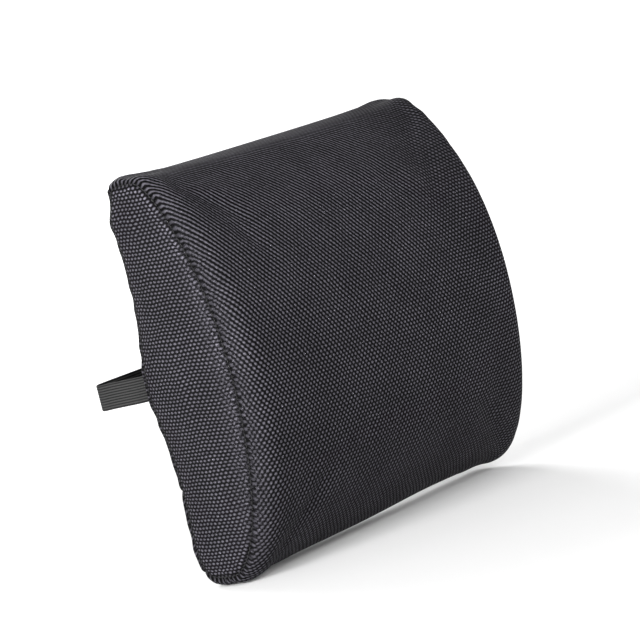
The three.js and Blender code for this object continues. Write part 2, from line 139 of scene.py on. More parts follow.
# ---- Cover mesh and its simulation ----
SPACING = 5.5 * MM
SEAM_STEPS = (1.3 * MM, 3.2 * MM)
PINNED_WITHIN = 0.1 * MM
START_INSET = 0.8 * MM
SEAM_SINK = 2.0 * MM
SEAM_REACH = 2.2 * MM
SIM_FRAMES = 20
CLOTH = {
    "quality": 6, "mass": 0.3, "tension_stiffness": 12, "compression_stiffness": 12, "shear_stiffness": 4,
    "bending_stiffness": 0.4, "use_pressure": True, "uniform_pressure_force": 4,
}
PUCKER_DEPTH = 0.8 * MM
PUCKER_REACH = 9 * MM
PUCKER_WAVES = (15.5 * MM, 23 * MM)
MOST_SWELL = 3.6 * MM
FABRIC_THICKNESS = 1.4 * MM
ZIP_CLOSING = (146 * MM, 153 * MM)
ZIP_CLOSING_REACH = 30 * MM
ZIP_SEAM_CLOSED = 4.45 * MM

# ---- Stitches ----
STITCH_LENGTH = 3.1 * MM
STITCH_PITCH = 4 * MM
STITCH_RADIUS = 0.36 * MM
STITCH_SIDES = 7
SIDE_STITCH_LIFT = 0.1 * MM
REAR_STITCH_LIFT = 0.2 * MM

# ---- Weave of the cover: a diamond lattice of bumps with holes between them, and the light and shade painted into its colour ----
MESH_WIDE = 4.1 * MM
MESH_TALL = 5.65 * MM
WEAVE_DRIFT = 3.2 * MM
PLAIN_LAY = (0.36, 0.36, 0.5)
STRETCH_FLAT = 6 * MM
STRETCH_REACH = 9 * MM
# Painted light in the cover's colour: a painted highlight in a band along the side panels' front edges, painted shade
# on the front panel beside them, and painted shade over the lower front.
PAINTED_GLEAM_LINE = 4 * MM
PAINTED_GLEAM_REACH = 3 * MM
SIDE_PAINTED_GLEAM = 1
FRONT_PAINTED_GLEAM = -0.3
LOW_FRONT_PAINTED_SHADE = 0.4


# ---- Curves ----

def unit(vectors):
    return vectors / np.linalg.norm(vectors, axis=-1, keepdims=True)


def travelled(line):
    """The distance along a line at each of its points."""
    return np.concatenate([[0], np.cumsum(np.linalg.norm(np.diff(line, axis=0), axis=1))])


def read_line(line, places, at):
    """A line's points at distances along it."""
    return np.stack([np.interp(at, places, values) for values in line.T], axis=-1)


def bezier(control, count):
    """`count` points along a Bezier curve, without its last."""
    share = np.linspace(0, 1, count, endpoint=False)[:, None]
    layer = [np.repeat([point], count, axis=0).astype(float) for point in control]
    while len(layer) > 1:
        layer = [a + (b - a) * share for a, b in zip(layer, layer[1:])]
    return layer[0]


def outline_curves():
    """The side outline's control points as (y, z), from the foot of the flat rear face upwards."""
    rear_foot, rear_top = (0, BOTTOM + BOTTOM_REAR_RISE), (0, TOP - TOP_REAR_RADIUS)
    top_rear, top_front = (-TOP_REAR_RADIUS, TOP), (-TOP_THICKNESS + TOP_FRONT_DROP, TOP)
    front_top = (-TOP_THICKNESS - TOP_FRONT_DROP, TOP - TOP_FRONT_DROP)
    upper_pulls = [(-(TOP_THICKNESS + DEPTH) / 2, TOP - TOP_FRONT_FALL), (-DEPTH, FULLEST_Z + UPPER_FRONT_PULL)]
    fullest = (-DEPTH, FULLEST_Z)
    lower_pulls = [(-DEPTH, FULLEST_Z - LOWER_FRONT_PULL), (-(BOTTOM_FRONT_DEPTH + 2 * DEPTH) / 3, BOTTOM)]
    front_foot, foot_end = (-BOTTOM_FRONT_DEPTH, BOTTOM), (-BOTTOM_FRONT_DEPTH + FOOT_LENGTH, BOTTOM)
    return [
        [rear_foot, rear_top],
        [rear_top, (0, TOP), top_rear],
        [top_rear, top_front],
        [top_front, (-TOP_THICKNESS, TOP), front_top],
        [front_top, *upper_pulls, fullest],
        [fullest, *lower_pulls, front_foot],
        [front_foot, foot_end],
        [foot_end, (0, BOTTOM), rear_foot],
    ]


OUTLINE = np.vstack([bezier(curve, 60) for curve in outline_curves()])
OUTLINE = np.vstack([OUTLINE, OUTLINE[:1]])
OUTLINE_PLACES = travelled(OUTLINE)
OUTLINE_LENGTH = OUTLINE_PLACES[-1]


def outline_at(place, inset):
    """The outline's (y, z) at distances along it, moved inwards by `inset`."""
    steps = (-TANGENT_REACH, 0, TANGENT_REACH)
    before, here, after = (read_line(OUTLINE, OUTLINE_PLACES, np.mod(place + step, OUTLINE_LENGTH)) for step in steps)
    along = unit(after - before)
    return here + np.stack([-along[..., 1], along[..., 0]], axis=-1) * inset[..., None]


def rear_seam_place(is_top):
    """The distance along the outline of the seam between the front panel and a rear panel."""
    depth_gap = np.abs(OUTLINE[:, 0] - SEAM_Y)
    depth_gap[(OUTLINE[:, 1] > MIDDLE_Z) != is_top] = 1
    return OUTLINE_PLACES[depth_gap.argmin()]


def rear_place(z):
    """The distance along the outline of a height on the flat rear face."""
    return z - (BOTTOM + BOTTOM_REAR_RISE)


def steps_between(start, end):
    """Places from one seam to the next, closer together beside the seams."""
    inner_start, inner_end = start + SEAM_STEPS[-1], end - SEAM_STEPS[-1]
    count = max(2, round((inner_end - inner_start) / SPACING))
    inner = np.linspace(inner_start, inner_end, count + 1)
    before = [start] + [start + step for step in SEAM_STEPS[:-1]]
    after = [end - step for step in reversed(SEAM_STEPS[:-1])] + [end]
    return np.concatenate([before, inner, after])


# ---- Cover panels ----

def smooth(value, low, high):
    """0 at `low`, 1 at `high`, with a smooth rise between them."""
    share = np.clip((value - low) / (high - low), 0, 1)
    return share * share * (3 - 2 * share)


def edge_move(points):
    """How far the rounding moves outline points at the rim, as (dy, dz)."""
    forward = np.clip(-points[..., 0] / DEPTH, 0, 1)
    back = EDGE_DEPTH_FRONT * forward - EDGE_DEPTH_REAR * (1 - forward)
    ends = -(points[..., 1] - MIDDLE_Z) * 2 * EDGE_DEPTH_ENDS / HEIGHT
    return np.stack([back, ends], axis=-1)


def band_grid(places, columns, inset):
    """Points of the band round the cushion, with their distances across it and from its rim.

    A column is from -1 to 1 across the flat width, and out to -2 or 2 round the edge.
    """
    rows = np.repeat(places[:, None], len(columns), axis=1)
    outline = outline_at(rows, inset)
    move = edge_move(outline)
    rim = RIM_X - inset
    flat = rim - EDGE_WIDTH
    side = np.sign(columns)[None]
    reach = np.abs(columns)[None]
    angles = np.linspace(0, math.pi / 2, 33)
    outs = np.sin(angles) ** (2 / EDGE_FULLNESS)
    backs = 1 - np.cos(angles) ** (2 / EDGE_FULLNESS)
    out = EDGE_WIDTH * outs
    back = np.linalg.norm(move, axis=-1)[..., None] * backs
    lengths = np.sqrt(np.diff(out) ** 2 + np.diff(back, axis=-1) ** 2)
    walked = np.concatenate([np.zeros(lengths.shape[:-1] + (1,)), np.cumsum(lengths, axis=-1)], axis=-1)
    total = walked[..., -1]
    wanted = np.clip(reach - 1, 0, 1) * total
    angle = np.array([[np.interp(w, t, angles) for w, t in zip(*row)] for row in zip(wanted, walked)])
    share = np.interp(angle, angles, backs)
    x = np.where(reach <= 1, reach * flat, flat + EDGE_WIDTH * np.interp(angle, angles, outs))
    yz = outline + move * share[..., None]
    across = np.where(reach <= 1, reach * flat, flat + wanted)
    return np.stack([side * x, yz[..., 0], yz[..., 1]], axis=-1), side * across, total - wanted


def lived_in(points):
    """Points moved as use has moved the foam: corners stand out, and the strap pulls the sides back."""
    x, y, z = np.moveaxis(np.asarray(points, float), -1, 0)
    beside = np.abs(x) / RIM_X
    towards_top = smooth(z, MIDDLE_Z + END_ZONE, TOP)
    towards_bottom = smooth(-z, -MIDDLE_Z + END_ZONE, -BOTTOM)
    corner = beside ** 4
    top_ear = np.where(x < 0, *TOP_EARS)
    bottom_ear = np.where(x < 0, *BOTTOM_EARS)
    up = (top_ear * corner - TOP_HOLLOW * (1 - beside ** 2)) * towards_top
    belly = BOTTOM_BELLY * (1 - corner) * (0.5 - 0.5 * np.tanh((x / RIM_X - BELLY_END) / BELLY_FADE))
    up -= (bottom_ear * corner + belly) * towards_bottom
    rear_edge = np.exp(-(y / STRAP_PULL_DEEP) ** 2) * beside ** 8
    at_strap = np.exp(-(z / STRAP_PULL_HIGH) ** 2) * rear_edge
    shoulder = np.exp(-((z - TOP + SHOULDER_DROP) / SHOULDER_HIGH) ** 2) * SHOULDER_OUT
    tuck = np.exp(-((z - TOP + TUCK_DROP) / TUCK_HIGH) ** 2) * SHOULDER_TUCK
    fuller = FULLER_SIDE * beside ** 3 * np.where(x < 0, 0.6 * towards_bottom, 1 - towards_top)
    out = STRAP_PULL_OUT * at_strap + (shoulder - tuck) * rear_edge + fuller
    return np.stack([x + np.sign(x) * out, y + STRAP_PULL_BACK * at_strap, z + up], axis=-1)


def valley(distance):
    """How deep a seam sinks at a distance from it, as a share of its full depth."""
    return np.exp(-(distance / SEAM_REACH) ** 2)


def puckers(along, distance):
    """How far the thread's pull gathers the cloth beside a seam, at places along it."""
    first, second = (np.sin(TURN * along / wave) for wave in PUCKER_WAVES)
    beside = np.exp(-(distance / PUCKER_REACH) ** 2) * smooth(distance, 0, SEAM_STEPS[1])
    return PUCKER_DEPTH * 0.5 * (first + second) * beside


def quads(row_count, column_count):
    """The faces of a grid of points."""
    i, j = np.meshgrid(np.arange(row_count - 1), np.arange(column_count - 1), indexing="ij")
    a = (i * column_count + j).ravel()
    return np.stack([a, a + 1, a + column_count + 1, a + column_count], axis=1).tolist()


flat_columns = np.linspace(-1, 1, round(2 * (RIM_X - EDGE_WIDTH) / SPACING) + 1)
edge_columns = 1 + np.array(EDGE_SHARES)
COLUMNS = np.concatenate([-edge_columns[::-1], flat_columns, edge_columns])


def close_zip_ends(points, places):
    """Draws the two rear panels together beyond the ends of the zip."""
    offset = (places - rear_place(ZIP_Z))[:, None]
    nearness = 1 - smooth(np.abs(offset), ZIP_GAP, ZIP_CLOSING_REACH)
    closing = smooth(np.abs(points[..., 0]), *ZIP_CLOSING) * nearness
    points[..., 2] -= np.sign(offset) * ZIP_SEAM_CLOSED * closing
    return points


def band_panel(start, end):
    """One panel of the band, from one place on the outline to another, with a seam round it."""
    places = steps_between(start, end)
    from_start = (places - start)[:, None]
    from_end = (end - places)[:, None]
    flat_inset = np.full((len(places), len(COLUMNS)), START_INSET)
    _, _, from_rim = band_grid(places, COLUMNS, flat_inset)
    from_seam = np.minimum(np.minimum(from_start, from_end), from_rim)
    inset = flat_inset + SEAM_SINK * valley(from_seam) + puckers(places[:, None], from_rim)
    points, across, _ = band_grid(places, COLUMNS, inset)
    points = lived_in(close_zip_ends(points, places))
    weave = np.stack([across, np.repeat(places[:, None], len(COLUMNS), axis=1), 0 * across], axis=-1)
    return {
        "points": points.reshape(-1, 3),
        "faces": quads(*points.shape[:2]),
        "weave": weave.reshape(-1, 3),
        "from_seam": from_seam.ravel(),
        "from_rim": from_rim.ravel(),
        "pinned": from_seam.ravel() < PINNED_WITHIN,
    }


def distance_to_loop(points, loop):
    """Each 2-D point's distance from a closed line, and its share of the way out to it from the middle."""
    a, b = loop, np.roll(loop, -1, axis=0)
    edge = b - a
    along = np.clip(((points[:, None] - a) * edge).sum(-1) / (edge ** 2).sum(-1), 0, 1)
    nearest = a + along[..., None] * edge
    distance = np.linalg.norm(points[:, None] - nearest, axis=-1).min(axis=1)
    middle = loop.mean(axis=0)
    loop_angle = np.arctan2(*(loop - middle).T)
    loop_radius = np.linalg.norm(loop - middle, axis=1)
    order = loop_angle.argsort()
    angle = np.arctan2(*(points - middle).T)
    radius = np.interp(angle, loop_angle[order], loop_radius[order], period=TURN)
    return distance, np.linalg.norm(points - middle, axis=1) / radius


def inner_points(loop, margin):
    """A staggered grid of points inside a closed line, at least `margin` from it."""
    low, high = loop.min(axis=0), loop.max(axis=0)
    row_gap = SPACING * math.sqrt(3) / 2
    rows = enumerate(np.arange(low[1], high[1], row_gap))
    made = np.array([(y, z) for row, z in rows for y in np.arange(low[0] + row % 2 * SPACING / 2, high[0], SPACING)])
    distance, reach = distance_to_loop(made, loop)
    return made[(distance > margin) & (reach < 1)]


def side_panel(rim, side):
    """A crowned side panel inside the rim loop that the band's panels end on."""
    loop = rim[:, 1:]
    middle = loop.mean(axis=0)
    tangent = np.roll(loop, -1, axis=0) - np.roll(loop, 1, axis=0)
    inwards = unit(np.stack([-tangent[:, 1], tangent[:, 0]], axis=1))
    inwards *= np.sign((inwards * (middle - loop)).sum(axis=1, keepdims=True))
    ring_gap = np.linalg.norm(np.roll(loop, -1, axis=0) - loop, axis=1)
    wide = ring_gap > 2 * MM
    rings = [(loop + inwards * step)[wide] for step in SEAM_STEPS]
    flat = np.vstack([loop, *rings, inner_points(loop, SEAM_STEPS[-1] + SPACING / 2)])
    count = len(loop)
    edges = [(i, (i + 1) % count) for i in range(count)]
    made, _, faces, origins, *_ = delaunay_2d_cdt([Vector(p) for p in flat], edges, [], 1, 1e-7)
    flat = np.array([flat[o[0]] if o else made[i] for i, o in enumerate(origins)])
    distance, reach = distance_to_loop(flat, loop)
    on_rim = distance < 1e-7
    nearest = np.linalg.norm(loop[None] - flat[:, None], axis=-1).argmin(axis=1)
    inner_x = np.abs(rim[nearest, 0]) + SEAM_SINK * (1 - valley(distance))
    x = inner_x + SIDE_CROWN * (1 - np.minimum(reach, 1) ** 2)
    points = np.column_stack([side * x, flat])
    points[on_rim] = rim[nearest[on_rim]]
    return {
        "points": points,
        "faces": [list(face) for face in faces],
        "weave": np.column_stack([flat, np.zeros(len(flat))]),
        "from_seam": distance,
        "from_rim": distance,
        "pinned": on_rim,
    }


top_seam, bottom_seam = rear_seam_place(True), rear_seam_place(False)
zip_low, zip_high = rear_place(ZIP_Z - ZIP_GAP), rear_place(ZIP_Z + ZIP_GAP)
panels = {
    "cover_rear_lower": band_panel(bottom_seam - OUTLINE_LENGTH, zip_low),
    "cover_rear_upper": band_panel(zip_high, top_seam),
    "cover_front": band_panel(top_seam, bottom_seam),
}
BAND = ("cover_rear_lower", "zip_strip", "cover_rear_upper", "cover_front")


def as_grid(points):
    return points.reshape(-1, len(COLUMNS), 3)


def zip_strip():
    """The stretch across the zip's opening, which closes the cover while it is simulated."""
    lower = as_grid(panels["cover_rear_lower"]["points"])[-1]
    upper = as_grid(panels["cover_rear_upper"]["points"])[0]
    points = np.stack([lower, (lower + upper) / 2, upper])
    points[1, :, 1] = lower[:, 1]
    pinned = np.ones(points[..., 0].size, bool)
    return {"points": points.reshape(-1, 3), "faces": quads(*points.shape[:2]), "pinned": pinned}


def rim_line(grids, side):
    """The line round the cushion at one side of the band, from the grids that make up the band."""
    return np.vstack([grid[:-1, 0 if side < 0 else -1] for grid in grids])


panels["zip_strip"] = zip_strip()
for side_name, side in (("left", -1), ("right", 1)):
    rim = rim_line([as_grid(panels[name]["points"]) for name in BAND], side)
    panels[f"cover_side_{side_name}"] = side_panel(rim, side)


def orient(panel):
    """Turns a panel's faces to point away from the middle of the cushion."""
    middle = np.array([0, -DEPTH / 2, MIDDLE_Z])
    a, b, c = np.moveaxis(panel["points"][[face[:3] for face in panel["faces"]]], 1, 0)
    if (np.cross(b - a, c - a) * (a - middle)).sum() < 0:
        panel["faces"] = [face[::-1] for face in panel["faces"]]


for panel in panels.values():
    orient(panel)


# ---- Cloth simulation ----

def new_object(name, mesh):
    obj = bpy.data.objects.new(name, mesh)
    scene.collection.objects.link(obj)
    return obj


def mesh_from(name, points, faces):
    mesh = bpy.data.meshes.new(name)
    mesh.from_pydata(np.asarray(points).tolist(), [], faces)
    mesh.update()
    return mesh


def coordinates(mesh):
    found = np.empty(len(mesh.vertices) * 3)
    mesh.vertices.foreach_get("co", found)
    return found.reshape(-1, 3)


def weld(parts):
    """One closed surface from panels that meet: points, faces and pins, and each panel's point numbers."""
    keys, points, pinned, faces, numbers = {}, [], [], [], {}
    for name, part in parts.items():
        own = []
        for point, is_pinned in zip(part["points"], part["pinned"]):
            key = tuple(np.round(point / (0.02 * MM)).astype(int))
            if key not in keys:
                keys[key] = len(points)
                points.append(point)
                pinned.append(False)
            own.append(keys[key])
            pinned[keys[key]] = pinned[keys[key]] or bool(is_pinned)
        numbers[name] = np.array(own)
        for face in part["faces"]:
            welded = [own[i] for i in face]
            welded = [i for n, i in enumerate(welded) if i != welded[n - 1]]
            if len(welded) > 2:
                faces.append(welded)
    return np.array(points), faces, np.array(pinned), numbers


def inflate(points, faces, pinned):
    """The welded cover's points after a cloth simulation with air inside it, pinned along the seams."""
    blown = new_object("blown_cover", mesh_from("blown_cover", points, faces))
    group = blown.vertex_groups.new(name="seams")
    group.add(np.flatnonzero(pinned).tolist(), 1.0, "REPLACE")
    cloth = blown.modifiers.new("air", "CLOTH")
    settings = cloth.settings
    for name, value in CLOTH.items():
        setattr(settings, name, value)
    settings.vertex_group_mass = group.name
    settings.effector_weights.gravity = 0
    cloth.collision_settings.use_collision = False
    cloth.point_cache.frame_start = 1
    cloth.point_cache.frame_end = SIM_FRAMES
    for number in range(1, SIM_FRAMES + 1):
        scene.frame_set(number)
    evaluated = blown.evaluated_get(bpy.context.evaluated_depsgraph_get())
    moved = coordinates(evaluated.data)
    scene.frame_set(1)
    bpy.data.meshes.remove(blown.data)
    return moved


def swell(points, faces, pinned):
    """The cover's points once it is stuffed, with each move capped by the foam that it lies on."""
    move = inflate(points, faces, pinned) - points
    length = np.maximum(np.linalg.norm(move, axis=1, keepdims=True), 1e-9)
    print("cloth moves, mm:", np.percentile(length / MM, (5, 25, 50, 75, 95, 100)).round(2))
    return points + move * (MOST_SWELL * np.tanh(length / MOST_SWELL) / length)


welded_points, welded_faces, welded_pins, numbers = weld(panels)
swollen = swell(welded_points, welded_faces, welded_pins)


# ---- Materials ----

class Graph:
    """One material's nodes. Arguments that are sockets are linked, and numbers are set."""

    def __init__(self, name):
        self.material = bpy.data.materials.new(name)
        self.material.use_nodes = True
        self.tree = self.material.node_tree

    def put(self, node, socket, value):
        target = node.inputs[socket]
        if isinstance(value, bpy.types.NodeSocket):
            self.tree.links.new(value, target)
        else:
            target.default_value = value

    def add(self, kind, inputs, output=0, **settings):
        node = self.tree.nodes.new(kind)
        for setting, value in settings.items():
            setattr(node, setting, value)
        for socket, value in inputs.items():
            self.put(node, socket, value)
        return node.outputs[output]

    def set(self, base, roughness, relief=None, depth=0.0, **others):
        """The material, once its shader has its colour, its roughness, its relief and its other inputs."""
        values = {"Base Color": base, "Roughness": roughness}
        if relief is not None:
            values["Normal"] = self.add("ShaderNodeBump", {"Height": relief, "Distance": depth, "Strength": 1.0})
        names = {"metallic": "Metallic", "sheen": "Sheen Weight", "specular": "Specular IOR Level",
                 "subsurface": "Subsurface Weight"}
        for name, value in others.items():
            values[names[name]] = value
        for socket, value in values.items():
            self.put(self.tree.nodes["Principled BSDF"], socket, value)
        return self.material

    def attribute(self, name, output="Vector"):
        return self.add("ShaderNodeAttribute", {}, output, attribute_name=name)

    def place(self):
        return self.add("ShaderNodeTexCoord", {}, "Object")

    def math(self, operation, *values):
        return self.add("ShaderNodeMath", dict(enumerate(values)), operation=operation)

    def times(self, first, *others):
        for value in others:
            first = self.math("MULTIPLY", first, value)
        return first

    def plus(self, first, *others):
        for value in others:
            first = self.math("ADD", first, value)
        return first

    def vector(self, operation, *values):
        return self.add("ShaderNodeVectorMath", dict(enumerate(values)), operation=operation)

    def split(self, vector):
        return self.add("ShaderNodeSeparateXYZ", {0: vector}).node.outputs

    def noise(self, vector, scale, detail=2.0, output="Fac"):
        return self.add("ShaderNodeTexNoise", {"Vector": vector, "Scale": scale, "Detail": detail}, output)

    def wave(self, value, pitch):
        """The cosine of a length, with a whole turn for each pitch."""
        return self.math("COSINE", self.times(value, TURN / pitch))

    def rise(self, value, low, high, to_low=0.0, to_high=1.0):
        values = {"Value": value, "From Min": low, "From Max": high, "To Min": to_low, "To Max": to_high}
        return self.add("ShaderNodeMapRange", values, interpolation_type="SMOOTHSTEP")

    def ramp(self, value, *stops):
        colours = self.add("ShaderNodeValToRGB", {0: value})
        elements = colours.node.color_ramp.elements
        while len(elements) < len(stops):
            elements.new(0.5)
        for element, (at, colour) in zip(elements, stops):
            element.position = at
            element.color = (*colour, 1)
        return colours

    def mix(self, share, a, b):
        return self.add("ShaderNodeMix", {0: share, 6: a, 7: b}, 2, data_type="RGBA")


def grey(value, warm=0.0):
    """A linear grey from an sRGB level of 0 to 255, warmer above 0 and cooler below."""
    level = (value / 255) ** 2.2
    return (level * (1 + warm), level, level * (1 - warm))


def ink(value):
    """The cover's near-black with its slight violet, at an sRGB level of 0 to 255."""
    level = (value / 255) ** 2.2
    return (level * 1.03, level * 0.98, level * 1.17)


def mesh_fabric():
    """Black 3-D air mesh: staggered bumps of bright filament over a dark open ground. Its colour also carries painted
    shade in the seam valleys, and the painted highlight and painted shade that the panels carry in an attribute.
    """
    g = Graph("air_mesh")
    weave = g.attribute("weave")
    drift = g.vector("SUBTRACT", g.noise(weave, 38, 1.0, "Color"), (0.5, 0.5, 0.5))
    drift = g.add("ShaderNodeVectorMath", {0: drift, "Scale": WEAVE_DRIFT}, operation="SCALE")
    u, v, _ = g.split(g.vector("ADD", weave, drift))
    turn_u = g.times(u, TURN / MESH_WIDE)
    turn_v = g.times(v, TURN / MESH_TALL)
    # Lattice weights: the weave's own, and on the front also painted light.
    shares = g.split(g.attribute("lay_and_painted_light"))
    rising = g.times(g.math("COSINE", g.plus(turn_u, turn_v)), shares[0])
    falling = g.times(g.math("COSINE", g.math("SUBTRACT", turn_u, turn_v)), shares[1])
    rows = g.times(g.math("COSINE", g.times(turn_v, 2.0)), shares[2])
    lattice = g.plus(rising, falling, rows, -0.1)
    yarn = g.noise(weave, 1500, 3.0)
    tuft = g.noise(weave, 330, 1.0)
    patch = g.noise(weave, 26, 2.0)
    broken = g.rise(g.noise(weave, 760, 2.0), 0.32, 0.68, -0.7, 1.0)
    stretch = g.attribute("stretch", "Fac")
    opened = g.plus(g.times(lattice, g.plus(g.times(stretch, -0.4), 1.0)), g.times(broken, stretch, 0.42))
    knit = g.plus(opened, g.times(g.plus(yarn, -0.5), 0.7))
    levels = ((0.0, 5), (0.28, 23), (0.52, 45), (0.78, 60), (1.0, 69))
    colour = g.ramp(g.rise(knit, -1.0, 1.15), *((at, ink(level)) for at, level in levels))
    # Painted shade: darker in the seam valleys, where the seams sink in.
    seam_painted_shade = g.rise(g.attribute("from_seam", "Fac"), 0.0, 3.0 * MM, 0.3, 1.0)
    # Painted highlight and painted shade, strongest on the bump tops.
    painted_light = g.plus(g.times(g.attribute("painted_light", "Fac"), g.rise(knit, -0.2, 0.9, 0.1, 0.7)), 1.0)
    uneven = g.times(g.rise(tuft, 0.3, 0.7, 0.78, 1.22), g.rise(patch, 0.3, 0.7, 0.9, 1.1))
    # Random tone of the fabric, times the painted shade and the painted light.
    tone_and_painted_light = g.times(uneven, seam_painted_shade, painted_light)
    colour = g.vector("MULTIPLY", colour, g.add("ShaderNodeCombineXYZ", {0: tone_and_painted_light, 1: tone_and_painted_light, 2: tone_and_painted_light}))
    relief = g.plus(g.rise(opened, -0.9, 1.1), g.times(yarn, 0.12))
    return g.set(colour, g.rise(opened, 0.0, 0.9, 0.85, 0.5), relief, 0.7 * MM, specular=0.06)


def thread_material():
    g = Graph("seam_thread")
    twist = g.noise(g.place(), 1800, 2.0)
    colour = g.ramp(twist, (0.3, grey(14)), (0.7, grey(46)))
    return g.set(colour, g.rise(twist, 0.2, 0.8, 0.6, 0.9), twist, 0.15 * MM, specular=0.2)


def elastic_material():
    """Dark grey elastic: ribs along its length with short cross stitches."""
    g = Graph("strap_elastic")
    weave = g.attribute("weave")
    along, across, _ = g.split(weave)
    fine = g.noise(weave, 900, 3.0)
    cross = g.wave(g.plus(along, g.times(fine, 0.35 * MM)), 0.9 * MM)
    relief = g.plus(g.times(cross, 0.3), g.times(g.wave(across, 2 * MM), 0.7))
    colour = g.ramp(g.rise(g.plus(relief, fine), -0.9, 1.5), (0.0, grey(5)), (0.45, grey(22)), (1.0, grey(51)))
    return g.set(colour, g.rise(fine, 0.2, 0.8, 0.6, 0.85), relief, 0.12 * MM, specular=0.1)


def tape_material():
    """Woven zip tape: a fine herringbone."""
    g = Graph("zip_tape")
    x, _, z = g.split(g.place())
    fold = g.math("ABSOLUTE", g.math("SINE", g.times(z, TURN / (5 * MM))))
    weave = g.wave(g.plus(x, g.times(fold, 1.6 * MM)), 0.8 * MM)
    speck = g.noise(g.place(), 900, 2.0)
    colour = g.ramp(g.rise(g.plus(weave, speck), -0.8, 1.6), (0.0, grey(14)), (1.0, grey(48)))
    return g.set(colour, g.rise(speck, 0.2, 0.8, 0.7, 0.9), weave, 0.1 * MM, sheen=0.2)


def coil_material():
    g = Graph("zip_coil")
    speck = g.noise(g.place(), 700, 2.0)
    colour = g.ramp(speck, (0.3, grey(11)), (0.7, grey(25)))
    return g.set(colour, g.rise(speck, 0.3, 0.7, 0.4, 0.6), speck, 0.03 * MM, specular=0.3)


def metal_material():
    """Black-lacquered zinc with the lacquer rubbed thin on its edges."""
    g = Graph("zip_metal")
    place = g.place()
    cloudy = g.noise(place, 160, 3.0)
    scratch = g.noise(g.vector("MULTIPLY", place, (300, 2600, 2600)), 1.0, 4.0)
    pointed = g.rise(g.add("ShaderNodeNewGeometry", {}, "Pointiness"), 0.55, 0.7)
    rubbed = g.times(pointed, g.rise(cloudy, 0.35, 0.6))
    colour = g.mix(rubbed, g.ramp(cloudy, (0.3, grey(16)), (0.7, grey(30))), (*grey(84, 0.04), 1))
    return g.set(colour, g.rise(scratch, 0.3, 0.7, 0.36, 0.56), scratch, 0.02 * MM, metallic=0.6)


def plastic_material():
    """Black moulded acetal with a fine spark-eroded grain and scuffs."""
    g = Graph("buckle_plastic")
    place = g.place()
    grain = g.noise(place, 2200, 3.0)
    cloudy = g.noise(place, 90, 3.0)
    scuff = g.rise(g.noise(g.vector("MULTIPLY", place, (120, 900, 700)), 1.0, 4.0), 0.6, 0.75)
    colour = g.mix(scuff, g.ramp(cloudy, (0.3, grey(13)), (0.7, grey(21))), (*grey(38), 1))
    rough = g.plus(g.rise(cloudy, 0.3, 0.7, 0.36, 0.48), g.times(scuff, 0.18))
    return g.set(colour, rough, grain, 0.02 * MM, specular=0.35)


def label_material():
    """White woven satin, with fine weft lines."""
    g = Graph("label_satin")
    x, _, z = g.split(g.place())
    weft, warp = g.wave(z, 0.35 * MM), g.wave(x, 0.5 * MM)
    speck = g.noise(g.place(), 400, 3.0)
    colour = g.ramp(g.rise(g.plus(weft, speck), -0.6, 1.6), (0.0, grey(158, 0.01)), (1.0, grey(186, 0.01)))
    relief = g.plus(weft, g.times(warp, 0.4))
    return g.set(colour, g.rise(speck, 0.3, 0.7, 0.35, 0.55), relief, 0.05 * MM, sheen=0.3)


def foam_material():
    """Cream polyurethane foam with open cells."""
    g = Graph("foam")
    cells = g.add("ShaderNodeTexVoronoi", {"Vector": g.place(), "Scale": 700.0}, "Distance")
    colour = g.ramp(cells, (0.1, grey(176, 0.12)), (0.6, grey(232, 0.08)))
    return g.set(colour, g.rise(cells, 0.0, 0.6, 0.8, 0.98), cells, 0.5 * MM, subsurface=0.1)


def liner_material():
    """White tricot: fine wales."""
    g = Graph("liner_knit")
    x, y, z = g.split(g.place())
    wale, course = g.wave(x, 1.1 * MM), g.wave(g.plus(z, y), 1.4 * MM)
    speck = g.noise(g.place(), 600, 2.0)
    colour = g.ramp(g.rise(g.plus(wale, speck), -0.8, 1.6), (0.0, grey(178, 0.02)), (1.0, grey(232, 0.02)))
    return g.set(colour, g.rise(speck, 0.3, 0.7, 0.8, 0.95), g.plus(wale, course), 0.1 * MM, sheen=0.3)


def floor_material():
    g = Graph("pale_floor")
    cloudy = g.noise(g.place(), 1.3, 2.0)
    return g.set(g.ramp(cloudy, (0.3, grey(208)), (0.7, grey(214))), g.rise(cloudy, 0.3, 0.7, 0.75, 0.85))


LOOKS = {
    "cover_mesh": mesh_fabric(),
    "seam_thread": thread_material(),
    "strap_elastic": elastic_material(),
    "zip_tape": tape_material(),
    "zip_coil": coil_material(),
    "zip_metal": metal_material(),
    "buckle_plastic": plastic_material(),
    "label_satin": label_material(),
    "foam": foam_material(),
    "liner_knit": liner_material(),
}


# ---- Pieces ----

def finish_modifiers(obj):
    """Replaces an object's mesh with what its modifiers make of it."""
    graph = bpy.context.evaluated_depsgraph_get()
    evaluated = obj.evaluated_get(graph)
    made = bpy.data.meshes.new_from_object(evaluated, preserve_all_data_layers=True, depsgraph=graph)
    obj.modifiers.clear()
    obj.data = made
    return obj


def thickened(obj, thickness, offset=0):
    """An object whose sheet of a mesh has been given a thickness, after its other modifiers."""
    solid = obj.modifiers.new("thickness", "SOLIDIFY")
    solid.thickness = thickness
    solid.offset = offset
    return finish_modifiers(obj)


def grid_mesh(name, points):
    """A mesh from points in rows and columns."""
    return mesh_from(name, points.reshape(-1, 3), quads(*points.shape[:2]))

def add_piece(name, mesh, slot, stands_for=(), body="cushion"):
    """A piece that rides on a body, in the finish of a material slot, in place of CAD nodes."""
    obj = new_object(name, mesh)
    mesh.name = name
    mesh.materials.clear()
    mesh.materials.append(LOOKS[slot])
    for face in mesh.polygons:
        face.use_smooth = True
    if body:
        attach(obj, body)
    if stands_for:
        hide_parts(*stands_for)
    return obj


